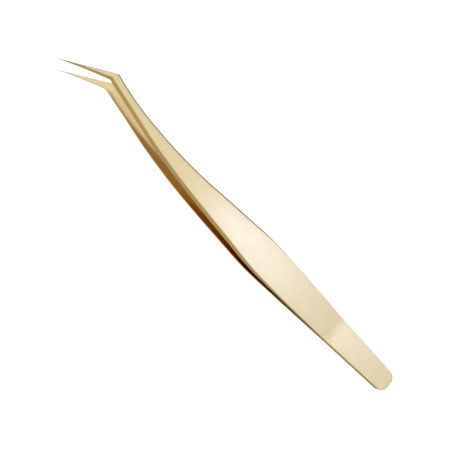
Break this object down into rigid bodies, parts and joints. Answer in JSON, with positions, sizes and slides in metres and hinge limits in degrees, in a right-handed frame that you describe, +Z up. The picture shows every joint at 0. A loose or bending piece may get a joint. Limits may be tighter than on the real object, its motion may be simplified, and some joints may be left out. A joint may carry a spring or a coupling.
{
  "type": "angled tweezers",
  "caption": "Fine-pointed tweezers with leaf-shaped finger grips, a narrow swept neck and points angled to one side; the arms are welded at the heel and spring open.",
  "frame": {"origin": "centre of the bounding box in X and Y, on the surface the tweezers lie on", "axes": "+X along the length from the heel to the points, +Y across the arms towards the side the points are bent to, +Z up, the way the arms open"},
  "size_m": [0.1386, 0.0124, 0.0143],
  "materials": {
    "arm_metal": "satin, champagne gold coating",
    "spacer_metal": "satin, champagne gold coating",
    "weld_metal": "bare weld metal"
  },
  "bodies": {
    "heel": {"upper_arm_heel": "arm_metal", "lower_arm_heel": "arm_metal", "heel_spacer": "spacer_metal", "weld_nugget_1": "weld_metal", "weld_nugget_2": "weld_metal", "weld_nugget_3": "weld_metal"},
    "upper_arm": {"upper_arm": "arm_metal"},
    "lower_arm": {"lower_arm": "arm_metal"}
  },
  "joints": [
    {"name": "upper_arm_flex", "type": "hinge", "parent": "heel", "child": "upper_arm", "pos_m": [-0.02739, 0.00046, 0.00567], "axis": [0, 1, 0], "range_deg": [0, 3.22], "stiffness_Nm_per_rad": 1.3},
    {"name": "lower_arm_flex", "type": "hinge", "parent": "heel", "child": "lower_arm", "pos_m": [-0.02719, 0.00046, 0.00143], "axis": [0, -1, 0], "range_deg": [0, 3.22], "stiffness_Nm_per_rad": 1.3}
  ],
  "couplings": [
    {"joint": "lower_arm_flex", "follows": "upper_arm_flex", "ratio": 1}
  ]
}
